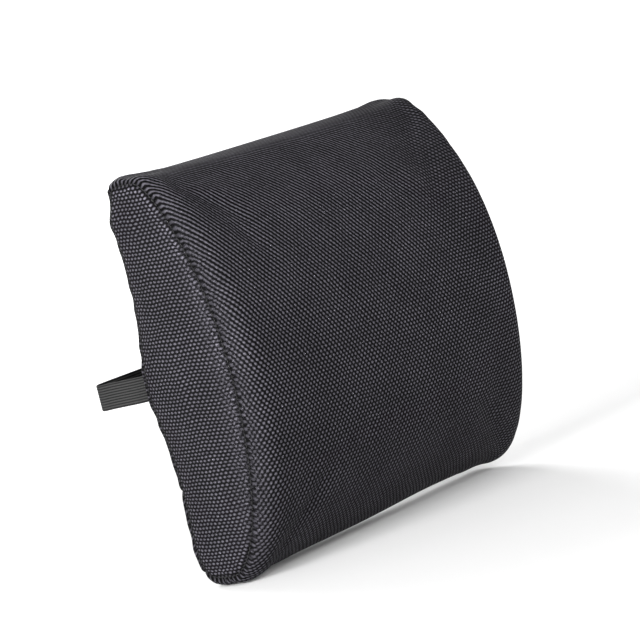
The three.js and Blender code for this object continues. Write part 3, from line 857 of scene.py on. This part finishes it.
def set_attribute(mesh, name, values):
    values = np.asarray(values, np.float32)
    kind, field = ("FLOAT_VECTOR", "vector") if values.ndim == 2 else ("FLOAT", "value")
    attribute = mesh.attributes.new(name, kind, "POINT")
    attribute.data.foreach_set(field, values.ravel())


def stretch_of(points, from_rim):
    """How far the mesh is stretched open, from 0 to 1: most on the front edges, beside the side seams."""
    forward = smooth(-points[:, 1], 0.35 * DEPTH, 0.75 * DEPTH)
    return forward * np.exp(-(np.maximum(from_rim - STRETCH_FLAT, 0) / STRETCH_REACH) ** 2)


def painted_light_of(name, points, from_rim):
    """Painted light for the cover's colour: a painted highlight on the side panels' front edges, stronger higher up,
    painted shade on the front beside them, and painted shade over the lower front.
    """
    forward = smooth(-points[:, 1], 0.02 * DEPTH, 0.25 * DEPTH)
    upper = smooth(points[:, 2], MIDDLE_Z - 0.15 * HEIGHT, MIDDLE_Z + 0.1 * HEIGHT)
    line = forward * (0.35 + 0.65 * upper) * np.exp(-((from_rim - PAINTED_GLEAM_LINE) / PAINTED_GLEAM_REACH) ** 2)
    if name.startswith("cover_side"):
        return SIDE_PAINTED_GLEAM * line
    # Painted shade: the front panel darker towards its bottom.
    low = smooth(-points[:, 2], -MIDDLE_Z + 0.05 * HEIGHT, -BOTTOM) if name == "cover_front" else 0
    return FRONT_PAINTED_GLEAM * line - LOW_FRONT_PAINTED_SHADE * low


def lay_and_painted_light_of(name, points):
    """How strongly the lattice's two diagonals and its rows show at each point. On the front their change with height
    and towards the right is painted light: it stands in for how the light picks out the relief's slopes, in the
    colour as well as in the relief.
    """
    if name != "cover_front":
        return np.tile(PLAIN_LAY, (len(points), 1))
    # Painted light: the pattern's strength on the front changes with height and towards the right, copying the
    # lighting of the relief.
    height = (points[:, 2] - BOTTOM) / HEIGHT
    right = smooth(points[:, 0], 0.3 * RIM_X, 0.85 * RIM_X)
    low_to_high = ((0.75, 0.45, 0.12), (0.32, 0.75, 1.05), (0.42, 0.35, 0.1))
    rising, falling, rows = (np.interp(height, (0.1, 0.5, 0.9), shares) for shares in low_to_high)
    return np.column_stack([rising, falling * (1 - 0.5 * right), rows + 0.2 * right])


def panel_piece(name, node):
    """A cover panel as a piece: split from the simulated cover, subdivided once and given its thickness."""
    panel = panels[name]
    points = swollen[numbers[name]]
    mesh = mesh_from(name, points, panel["faces"])
    set_attribute(mesh, "weave", panel["weave"])
    set_attribute(mesh, "from_seam", panel["from_seam"])
    set_attribute(mesh, "stretch", stretch_of(points, panel["from_rim"]))
    # Painted light: a highlight along the side panels' front edges, shade beside them on the front and over the lower
    # front.
    set_attribute(mesh, "painted_light", painted_light_of(name, points, panel["from_rim"]))
    # Lattice weights, which on the front carry painted light as well.
    set_attribute(mesh, "lay_and_painted_light", lay_and_painted_light_of(name, points))
    obj = add_piece(name, mesh, "cover_mesh", [node])
    smoother = obj.modifiers.new("smoother", "SUBSURF")
    smoother.levels = smoother.render_levels = 1
    thickened(obj, FABRIC_THICKNESS, -1)


for name, node in (
    ("cover_front", "cover_front_panel"),
    ("cover_side_left", "cover_side_panel_left"),
    ("cover_side_right", "cover_side_panel_right"),
    ("cover_rear_upper", "cover_rear_panel_upper"),
    ("cover_rear_lower", "cover_rear_panel_lower"),
):
    panel_piece(name, node)


# ---- Stitches ----

def resample(line, pitch):
    """Points at equal distances along a line, and the unit direction at each."""
    places = travelled(line)
    count = max(2, round(places[-1] / pitch))
    wanted = (np.arange(count) + 0.5) * places[-1] / count
    before, here, after = (read_line(line, places, wanted + step) for step in (-pitch / 2, 0, pitch / 2))
    return here, unit(after - before)


def tube_faces(rings, around, base=0):
    """The faces of a tube of rings of points, with both ends closed."""
    made = []
    for start in range(base, base + (rings - 1) * around, around):
        for k in range(around):
            a, b = start + k, start + (k + 1) % around
            made.append([a, b, b + around, a + around])
    last = base + (rings - 1) * around
    return made + [list(range(base, base + around))[::-1], list(range(last, last + around))]


def add_tube(points, faces, start, along, helper, rings, around):
    """Adds a closed tube to lists of points and faces, from each ring's distance along it and radius."""
    right = unit(np.cross(along, helper))
    up = np.cross(right, along)
    faces += tube_faces(len(rings), around, len(points))
    for place, radius in rings:
        for k in range(around):
            angle = TURN * k / around
            points.append(start + along * place + (right * math.cos(angle) + up * math.sin(angle)) * radius)


def stitch_mesh(name, lines, length=STITCH_LENGTH, pitch=STITCH_PITCH, radius=STITCH_RADIUS, lift=(0, 0, 0)):
    """Rounded stitches in rows along lines."""
    profile = ((-0.5, 0.2), (-0.42, 0.75), (-0.2, 1), (0.2, 1), (0.42, 0.75), (0.5, 0.2))
    rings = [(share * length, wide * radius) for share, wide in profile]
    points, faces = [], []
    for line in lines:
        for middle, along in zip(*resample(np.asarray(line), pitch)):
            helper = (1, 0, 0) if abs(along[0]) < 0.8 else (0, 0, 1)
            add_tube(points, faces, middle + np.asarray(lift), along, helper, rings, STITCH_SIDES)
    return mesh_from(name, points, faces)


def panel_grid(name):
    return as_grid(swollen[numbers[name]])


def seam_piece(place, line, lift):
    mesh = stitch_mesh(f"seam_{place}", [line], lift=lift)
    add_piece(f"seam_{place}", mesh, "seam_thread", [f"seam_thread_{place}"])


for side_name, side in (("left", -1), ("right", 1)):
    line = rim_line([panel_grid(name) for name in BAND], side)
    seam_piece(side_name, np.vstack([line, line[:1]]), (side * SIDE_STITCH_LIFT, 0, 0))
seam_piece("top", panel_grid("cover_front")[0, 2:-2], (0, 0, REAR_STITCH_LIFT))
seam_piece("bottom", panel_grid("cover_front")[-1, 2:-2], (0, 0, -REAR_STITCH_LIFT))


# ---- Foam and its liner ----
FOAM_INSET = 8.2 * MM
LINER_INSET = 7.2 * MM
CROWN_RINGS = (0.8, 0.55, 0.3)
def plain_body(name, inset, slot, node):
    """A closed, smooth block of the cushion's shape, for what lies inside the cover."""
    places = np.linspace(0, OUTLINE_LENGTH, 141)[:-1]
    columns = np.concatenate([-edge_columns[::-2], np.linspace(-1, 1, 31), edge_columns[1::2]])
    points = lived_in(band_grid(places, columns, np.full((len(places), len(columns)), inset))[0])
    rows, count = points.shape[:2]
    made = points.reshape(-1, 3).tolist()
    starts = [(i * count, (i + 1) % rows * count) for i in range(rows)]
    faces = [[a + j, a + j + 1, b + j + 1, b + j] for a, b in starts for j in range(count - 1)]
    for column in (0, count - 1):
        rim = points[:, column]
        middle = rim.mean(axis=0)
        crown = np.sign(middle[0]) * SIDE_CROWN
        inner = [i * count + column for i in range(rows)]
        for reach in CROWN_RINGS:
            ring = middle + (rim - middle) * reach
            ring[:, 0] = middle[0] + crown * (1 - reach ** 2)
            outer, inner = inner, list(range(len(made), len(made) + rows))
            made += ring.tolist()
            faces += [[outer[i - 1], outer[i], inner[i], inner[i - 1]] for i in range(rows)]
        made.append([middle[0] + crown, middle[1], middle[2]])
        faces += [[inner[i - 1], inner[i], len(made) - 1] for i in range(rows)]
    mesh = mesh_from(name, made, faces)
    tidy = bmesh.new()
    tidy.from_mesh(mesh)
    bmesh.ops.recalc_face_normals(tidy, faces=tidy.faces)
    tidy.to_mesh(mesh)
    tidy.free()
    return add_piece(name, mesh, slot, [node])


plain_body("foam_block", FOAM_INSET, "foam", "foam_core")
plain_body("liner_bag", LINER_INSET, "liner_knit", "inner_liner")

# ---- Strap ----
STRAP_WIDTH = 20 * MM
STRAP_THICKNESS = 1.4 * MM
STRAP_RIBS = 10
STRAP_GAP = 42 * MM
STRAP_SIDE_REACH = 15.5 * MM
STRAP_TURN = 7 * MM
STRAP_MERGE = 9 * MM
LAYER_OFFSET = 0.9 * MM
BAR_RADIUS = 1.2 * MM
LOOP_CLEARANCE = 0.3 * MM
LOOPED_END = 26 * MM
TAIL_LENGTH = 62 * MM


def through(points, per_span):
    """A centripetal Catmull-Rom curve through 2-D points."""
    points = np.asarray(points, float)
    ends = np.vstack([2 * points[0] - points[1], points, 2 * points[-1] - points[-2]])
    share = np.linspace(0, 1, per_span, endpoint=False)[:, None]
    made = []
    for p0, p1, p2, p3 in zip(ends, ends[1:], ends[2:], ends[3:]):
        d0, d1, d2 = (max(np.linalg.norm(b - a), 1e-9) ** 0.5 for a, b in ((p0, p1), (p1, p2), (p2, p3)))
        m1 = ((p1 - p0) / d0 - (p2 - p0) / (d0 + d1) + (p2 - p1) / d1) * d1
        m2 = ((p2 - p1) / d1 - (p3 - p1) / (d1 + d2) + (p3 - p2) / d2) * d1
        made.append(p1 + share * (m1 + share * (3 * (p2 - p1) - 2 * m1 - m2 + share * (2 * (p1 - p2) + m1 + m2))))
    return np.vstack([*made, points[-1:]])


def strap_path(bar_x, side, end_length):
    """The strap's middle line as (x, y): out of the seam, round the chair's edge, and back round its bar."""
    reach = THREAD_X + STRAP_SIDE_REACH
    outer_y = STRAP_GAP + LAYER_OFFSET
    inner_y = STRAP_GAP - LAYER_OFFSET
    wrap = [
        (THREAD_X - 1 * MM, -7 * MM),
        (THREAD_X, -2.2 * MM),
        (THREAD_X, 3 * MM),
        (THREAD_X + STRAP_SIDE_REACH / 3, STRAP_GAP / 4),
        (reach - STRAP_TURN / 3, STRAP_GAP - 2 * STRAP_TURN),
        (reach + STRAP_TURN / 3, STRAP_GAP - STRAP_TURN),
        (reach - STRAP_TURN / 3, outer_y - STRAP_TURN / 4),
        (reach - 2 * STRAP_TURN, outer_y),
        (reach - 5 * STRAP_TURN, outer_y),
    ]
    turn = BAR_RADIUS + LOOP_CLEARANCE + STRAP_THICKNESS / 2
    away = abs(bar_x)
    merge = away + STRAP_MERGE
    line = [*through(wrap, 8)]
    line += [np.array([x, outer_y]) for x in np.linspace(line[-1][0], merge, 16)[1:]]
    for angle in np.linspace(math.pi / 2, math.pi * 1.5, 13):
        line.append(np.array([away + turn * math.cos(angle), STRAP_GAP + turn * math.sin(angle)]))
    line += [np.array([x, inner_y]) for x in np.linspace(merge, away + end_length, 10)]
    return np.array(line) * (side, 1)


def strap_section():
    """The ribbed cross-section as (offset, z) points."""
    places = np.linspace(-0.5, 0.5, STRAP_RIBS * 6 + 1)
    rib = np.abs(np.cos(math.pi * STRAP_RIBS * places))
    edge = np.sqrt(np.clip(1 - (np.abs(places) * 2) ** 24, 0, 1))
    half = STRAP_THICKNESS / 2 * (0.72 + 0.28 * (1 - rib)) * (0.35 + 0.65 * edge)
    z = places * STRAP_WIDTH
    return np.vstack([np.column_stack([half, z]), np.column_stack([-half, z])[::-1]])


def strap_mesh(name, path):
    """A ribbed band swept along a path, with its ends closed."""
    section = strap_section()
    points, weave = [], []
    for (x, y), (dx, dy), place in zip(path, unit(np.gradient(path, axis=0)), travelled(path)):
        points += [(x - dy * offset, y + dx * offset, z) for offset, z in section]
        weave += [(place, z, 0) for _, z in section]
    mesh = mesh_from(name, points, tube_faces(len(path), len(section)))
    set_attribute(mesh, "weave", weave)
    return mesh


def strap_piece(side_name, path, body):
    name = f"strap_elastic_{side_name}"
    return add_piece(name, strap_mesh(name, path), "strap_elastic", [f"strap_{side_name}"], body)


socket_bar_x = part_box("buckle_socket")[0].x + BAR_RADIUS
plug_bar_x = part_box("buckle_plug")[1].x - BAR_RADIUS
strap_piece("left", strap_path(socket_bar_x, -1, LOOPED_END), "cushion")
strap_right = strap_piece("right", strap_path(plug_bar_x, 1, TAIL_LENGTH), None)
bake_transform(strap_right)

# ---- Zip, label and ridges ----
TOOTH_PITCH = 1.3 * MM
TOOTH_RADIUS = 0.47 * MM
TAPE_THICKNESS = 0.6 * MM
TAPE_RIBS = 5
GUARD_X = 158 * MM
GUARD_HALF = 7 * MM
GUARD_DEPTH = 5.6 * MM
GUARD_THICKNESS = 0.5 * MM
TOPSTITCH_X = 143 * MM
TOPSTITCH_ROW = 2
TOPSTITCH_LIFT = 0.1 * MM
LABEL_LIFT = 0.3 * MM
LABEL_THICKNESS = 0.25 * MM
LABEL_HEM = 2.5 * MM
LABEL_STITCH_INSET = 1 * MM
BUCKLE_HALF_THICKNESS = 4.5 * MM
PLUG_HALF_THICKNESS = 4 * MM
PULL_HALF_THICKNESS = 0.6 * MM


def rounded_bars(name, bars, radius, around=8):
    """Bars with round ends, from pairs of points."""
    ends = [(radius * (1 - math.cos(turn)), radius * math.sin(turn)) for turn in (0.2, 0.6, 1.1, math.pi / 2)]
    points, faces = [], []
    for start, end in np.asarray(bars, float):
        length = np.linalg.norm(end - start)
        rings = ends + [(length - place, wide) for place, wide in reversed(ends)]
        add_tube(points, faces, start, (end - start) / length, (0, 1, 0), rings, around)
    return mesh_from(name, points, faces)


def zip_teeth(name, side):
    """One row of the coil's teeth, on its two cords. The rows are half a pitch apart, so that they mesh."""
    low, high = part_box(f"zipper_coil_{name}")
    middle_y = (low.y + high.y) / 2
    near, far = sorted((low.z, high.z), key=lambda z: abs(z - ZIP_Z))
    shift = TOOTH_PITCH / 2 if side > 0 else 0
    places = np.arange(low.x + TOOTH_PITCH + shift, high.x - TOOTH_PITCH / 2, TOOTH_PITCH)
    bars = [((x, middle_y, near), (x, middle_y, far)) for x in places]
    for y in (middle_y - 0.6 * TOOTH_RADIUS, middle_y + 0.6 * TOOTH_RADIUS):
        bars.append([(x, y, far - side * TOOTH_RADIUS) for x in (low.x, high.x)])
    return rounded_bars(f"zip_teeth_{name}", bars, TOOTH_RADIUS)


def zip_tape(name):
    """A woven tape with fine ribs along its length."""
    low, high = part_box(f"zipper_tape_{name}")
    across, along = np.meshgrid(np.linspace(low.z, high.z, TAPE_RIBS * 4 + 1), np.linspace(low.x, high.x, 120))
    rib = 0.12 * MM * np.abs(np.cos(math.pi * TAPE_RIBS * (across - low.z) / (high.z - low.z)))
    slack = 0.05 * MM * np.sin(along / (9 * MM))
    points = np.stack([along, high.y - TAPE_THICKNESS / 2 + rib + slack, across], axis=-1)
    mesh = grid_mesh(f"zip_tape_{name}", points)
    thickened(add_piece(f"zip_tape_{name}", mesh, "zip_tape", [f"zipper_tape_{name}"]), TAPE_THICKNESS / 2)


def zip_guard():
    """A strip of black knit behind the zip, which keeps the liner out of its teeth."""
    across, along = np.meshgrid(np.linspace(-GUARD_HALF, GUARD_HALF, 9), np.linspace(-GUARD_X, GUARD_X, 150))
    slack = 0.12 * MM * np.sin(along / (13 * MM)) * np.cos(across / (5 * MM))
    points = np.stack([along, slack - GUARD_DEPTH, ZIP_Z + across], axis=-1)
    obj = thickened(add_piece("zip_guard", grid_mesh("zip_guard", points), "zip_tape"), GUARD_THICKNESS)


zip_guard()
rear_trees = []
for name in ("cover_rear_upper", "cover_rear_lower"):
    mesh = bpy.data.objects[name].data
    corners = [vertex.co.copy() for vertex in mesh.vertices]
    rear_trees.append(BVHTree.FromPolygons(corners, [list(face.vertices) for face in mesh.polygons]))


def on_rear(x, z, lift=0.0):
    """The point of the rear cover's outer surface at a place, raised by `lift`."""
    hits = [tree.ray_cast(Vector((x, 30 * MM, z)), Vector((0, -1, 0)))[0] for tree in rear_trees]
    return (x, max(hit.y for hit in hits if hit) + lift, z)


def line_between(start, end, count=40):
    return [tuple(point) for point in np.linspace(start, end, count)]


for name, side in (("upper", 1), ("lower", -1)):
    add_piece(f"zip_teeth_{name}", zip_teeth(name, side), "zip_coil", [f"zipper_coil_{name}"])
    zip_tape(name)

topstitches = []
for name, row in (("cover_rear_upper", TOPSTITCH_ROW), ("cover_rear_lower", -1 - TOPSTITCH_ROW)):
    inside = [point for point in panel_grid(name)[row] if abs(point[0]) < TOPSTITCH_X]
    topstitches.append([on_rear(x, z, TOPSTITCH_LIFT) for x, _, z in inside])

label_low, label_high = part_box("care_label")


def label_mesh():
    """A blank woven label that follows the cover under it, with its two ends folded under."""
    xs = np.linspace(label_low.x, label_high.x, 52)
    zs = np.linspace(label_low.z, label_high.z, 31)
    ground = np.array([[on_rear(x, z)[1] for z in zs] for x in xs])
    from_end = np.minimum(xs - xs[0], xs[-1] - xs)[:, None]
    hem = LABEL_THICKNESS * (1 - smooth(from_end, LABEL_HEM, LABEL_HEM + 0.6 * MM))
    down = ((zs[-1] - zs) / (zs[-1] - zs[0]))[None]
    curl = 0.5 * MM * down ** 3 * smooth(from_end, 3 * MM, 12 * MM)
    wave = 0.08 * MM * np.sin(xs / (3.1 * MM))[:, None] * np.cos(zs / (4.3 * MM))[None]
    y = ground + LABEL_LIFT + hem + curl + wave
    return grid_mesh("label_blank", np.stack([*np.broadcast_arrays(xs[:, None], y, zs[None])], axis=-1))


label = thickened(add_piece("label_blank", label_mesh(), "label_satin", ["care_label"]), LABEL_THICKNESS)

left_x, right_x = label_low.x + LABEL_HEM / 2, label_high.x - LABEL_HEM / 2
low_z, high_z = label_low.z + LABEL_STITCH_INSET, label_high.z - LABEL_STITCH_INSET
for x0, x1, start_z in ((left_x, left_x, low_z), (right_x, right_x, low_z), (left_x, right_x, high_z)):
    line = line_between((x0, start_z), (x1, high_z), 20)
    topstitches.append([on_rear(x, z, LABEL_LIFT + 2 * LABEL_THICKNESS) for x, z in line])
add_piece("topstitches", stitch_mesh("topstitches", topstitches, 2.3 * MM, 3.1 * MM, 0.3 * MM), "seam_thread")


def box_stitches():
    """The sewn box with a cross in it that holds the left strap's looped end."""
    start = socket_bar_x - STRAP_MERGE - 3 * MM
    end = socket_bar_x - LOOPED_END + 2 * MM
    half = STRAP_WIDTH / 2 - 2.5 * MM
    lines = []
    for y in (STRAP_GAP + LAYER_OFFSET + STRAP_THICKNESS / 2, STRAP_GAP - LAYER_OFFSET - STRAP_THICKNESS / 2):
        a, b, c, d = ((start, y, -half), (start, y, half), (end, y, half), (end, y, -half))
        lines += [line_between(*pair) for pair in ((a, b), (b, c), (c, d), (d, a), (a, c), (b, d))]
    return stitch_mesh("strap_box_stitches", lines, 1.9 * MM, 2.6 * MM, 0.26 * MM)


add_piece("strap_box_stitches", box_stitches(), "seam_thread")


def across_bars(xs, faces, reach, middle_z=0.0):
    """Bars across a moulded part, on each of two faces."""
    return [((x, y, middle_z - reach), (x, y, middle_z + reach)) for y in faces for x in xs]


def faces_of(middle_y, half):
    return (middle_y - half, middle_y + half)


socket_low, socket_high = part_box("buckle_socket")
half_buckle = socket_high.z
plug_faces = faces_of(STRAP_GAP, PLUG_HALF_THICKNESS)
plug_ridges = across_bars([socket_high.x + step * MM for step in (2, 3.7, 5.4)], plug_faces, 0.72 * half_buckle)

near, far, wide = socket_high.x - 3.2 * MM, socket_high.x - 20 * MM, 0.7 * half_buckle
corner = 2.2 * MM
outline = [(near - corner, wide), (near, wide - corner), (near, corner - wide), (near - corner, -wide),
           (far + corner, -wide), (far, corner - wide), (far, wide - corner), (far + corner, wide)]
socket_faces = faces_of(STRAP_GAP, BUCKLE_HALF_THICKNESS)
socket_ridges = across_bars(np.linspace(far + 4 * MM, near - 4 * MM, 4), socket_faces, 0.42 * half_buckle)
for y in socket_faces:
    for (x0, z0), (x1, z1) in zip(outline, outline[1:] + outline[:1]):
        socket_ridges.append(((x0, y, z0), (x1, y, z1)))

keeper_low, keeper_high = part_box("strap_keeper")
keeper_places = [keeper_low.x + share * (keeper_high.x - keeper_low.x) for share in (0.28, 0.72)]
keeper_ridges = across_bars(keeper_places, (keeper_low.y, keeper_high.y), 0.78 * keeper_high.z)

pull_low, pull_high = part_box("zipper_pull_tab")
pull_faces = faces_of((pull_low.y + pull_high.y) / 2, PULL_HALF_THICKNESS)
pull_ridges = across_bars([pull_low.x + step * MM for step in (3, 4.8, 6.6, 8.4)], pull_faces, 2.1 * MM, ZIP_Z)

for name, ridges, radius, slot, body in (
    ("buckle_plug_ridges", plug_ridges, 0.45 * MM, "buckle_plastic", "plug"),
    ("buckle_socket_ridges", socket_ridges, 0.35 * MM, "buckle_plastic", "cushion"),
    ("keeper_ridges", keeper_ridges, 0.4 * MM, "buckle_plastic", "keeper"),
    ("pull_tab_ridges", pull_ridges, 0.28 * MM, "zip_metal", "zip_pull"),
):
    add_piece(name, rounded_bars(name, ridges, radius, 10), slot, body=body)

# ---- CAD nodes that stay ----
for slot, bevel, nodes in (
    ("zip_metal", 0.3 * MM, ("zipper_stop_closed_end", "zipper_stop_open_end")),
    ("zip_metal", 0.2 * MM, ("zipper_slider", "zipper_pull_tab")),
    ("buckle_plastic", 0.3 * MM, ("strap_keeper", "buckle_arm_upper", "buckle_arm_lower")),
    ("buckle_plastic", 0.4 * MM, ("buckle_socket", "buckle_plug")),
):
    for node in nodes:
        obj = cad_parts[node]
        obj.data.materials.clear()
        obj.data.materials.append(LOOKS[slot])
        rounding = obj.modifiers.new("rounding", "BEVEL")
        rounding.width = bevel
        rounding.segments = 2
        rounding.limit_method = "ANGLE"

# ---- Floor, light and camera ----
FLOOR_RADIUS = 2.6
SWEEP_RADIUS = 1.2
FLOOR_SIDES = 72
WORLD_STRENGTH = 0.3


def floor_mesh():
    """A round floor that curves up into a wall."""
    profile = [(radius, 0) for radius in (0.4, 1, 1.8, FLOOR_RADIUS)]
    for step in range(1, 9):
        angle = math.pi / 2 * step / 8
        profile.append((FLOOR_RADIUS + SWEEP_RADIUS * math.sin(angle), SWEEP_RADIUS * (1 - math.cos(angle))))
    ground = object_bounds()[0].z
    turns = [TURN * k / FLOOR_SIDES for k in range(FLOOR_SIDES)]
    points = [(r * math.cos(turn), r * math.sin(turn), ground + z) for r, z in profile for turn in turns]
    faces = [face[::-1] for face in tube_faces(len(profile), FLOOR_SIDES)[:-1]]
    return mesh_from("floor", points, faces)


floor = new_object("floor", floor_mesh())
for face in floor.data.polygons:
    face.use_smooth = True
floor.data.materials.append(floor_material())


def soft_light(name, place, size, power):
    """A square area light that faces the cushion."""
    data = bpy.data.lights.new(name, "AREA")
    data.shape = "SQUARE"
    data.size = size
    data.energy = power
    lamp = new_object(name, data)
    lamp.location = place
    lamp.rotation_euler = (-Vector(place)).to_track_quat("-Z", "Y").to_euler()


soft_light("key_left", (-2.8, -0.4, 0.6), 1.3, 200)
soft_light("front_fill", (-0.9, -2.9, 1.3), 1.8, 110)
soft_light("rear_fill", (1.2, 2.7, 1.6), 1.8, 140)

world = bpy.data.worlds.new("studio")
world.use_nodes = True
background = world.node_tree.nodes["Background"].inputs
background["Color"].default_value = (1, 1, 1, 1)
background["Strength"].default_value = WORLD_STRENGTH
scene.world = world
scene.view_settings.view_transform = "Standard"

camera_data = bpy.data.cameras.new("camera")
camera_data.lens = CAMERA_LENS
camera_data.sensor_width = CAMERA_SENSOR
camera_data.clip_end = 100
camera = new_object("camera", camera_data)
turn = Matrix((CAMERA_RIGHT, CAMERA_UP, CAMERA_BACK)).transposed()
camera.matrix_world = Matrix.Translation(CAMERA_PLACE) @ turn.to_quaternion().to_matrix().to_4x4()
scene.camera = camera
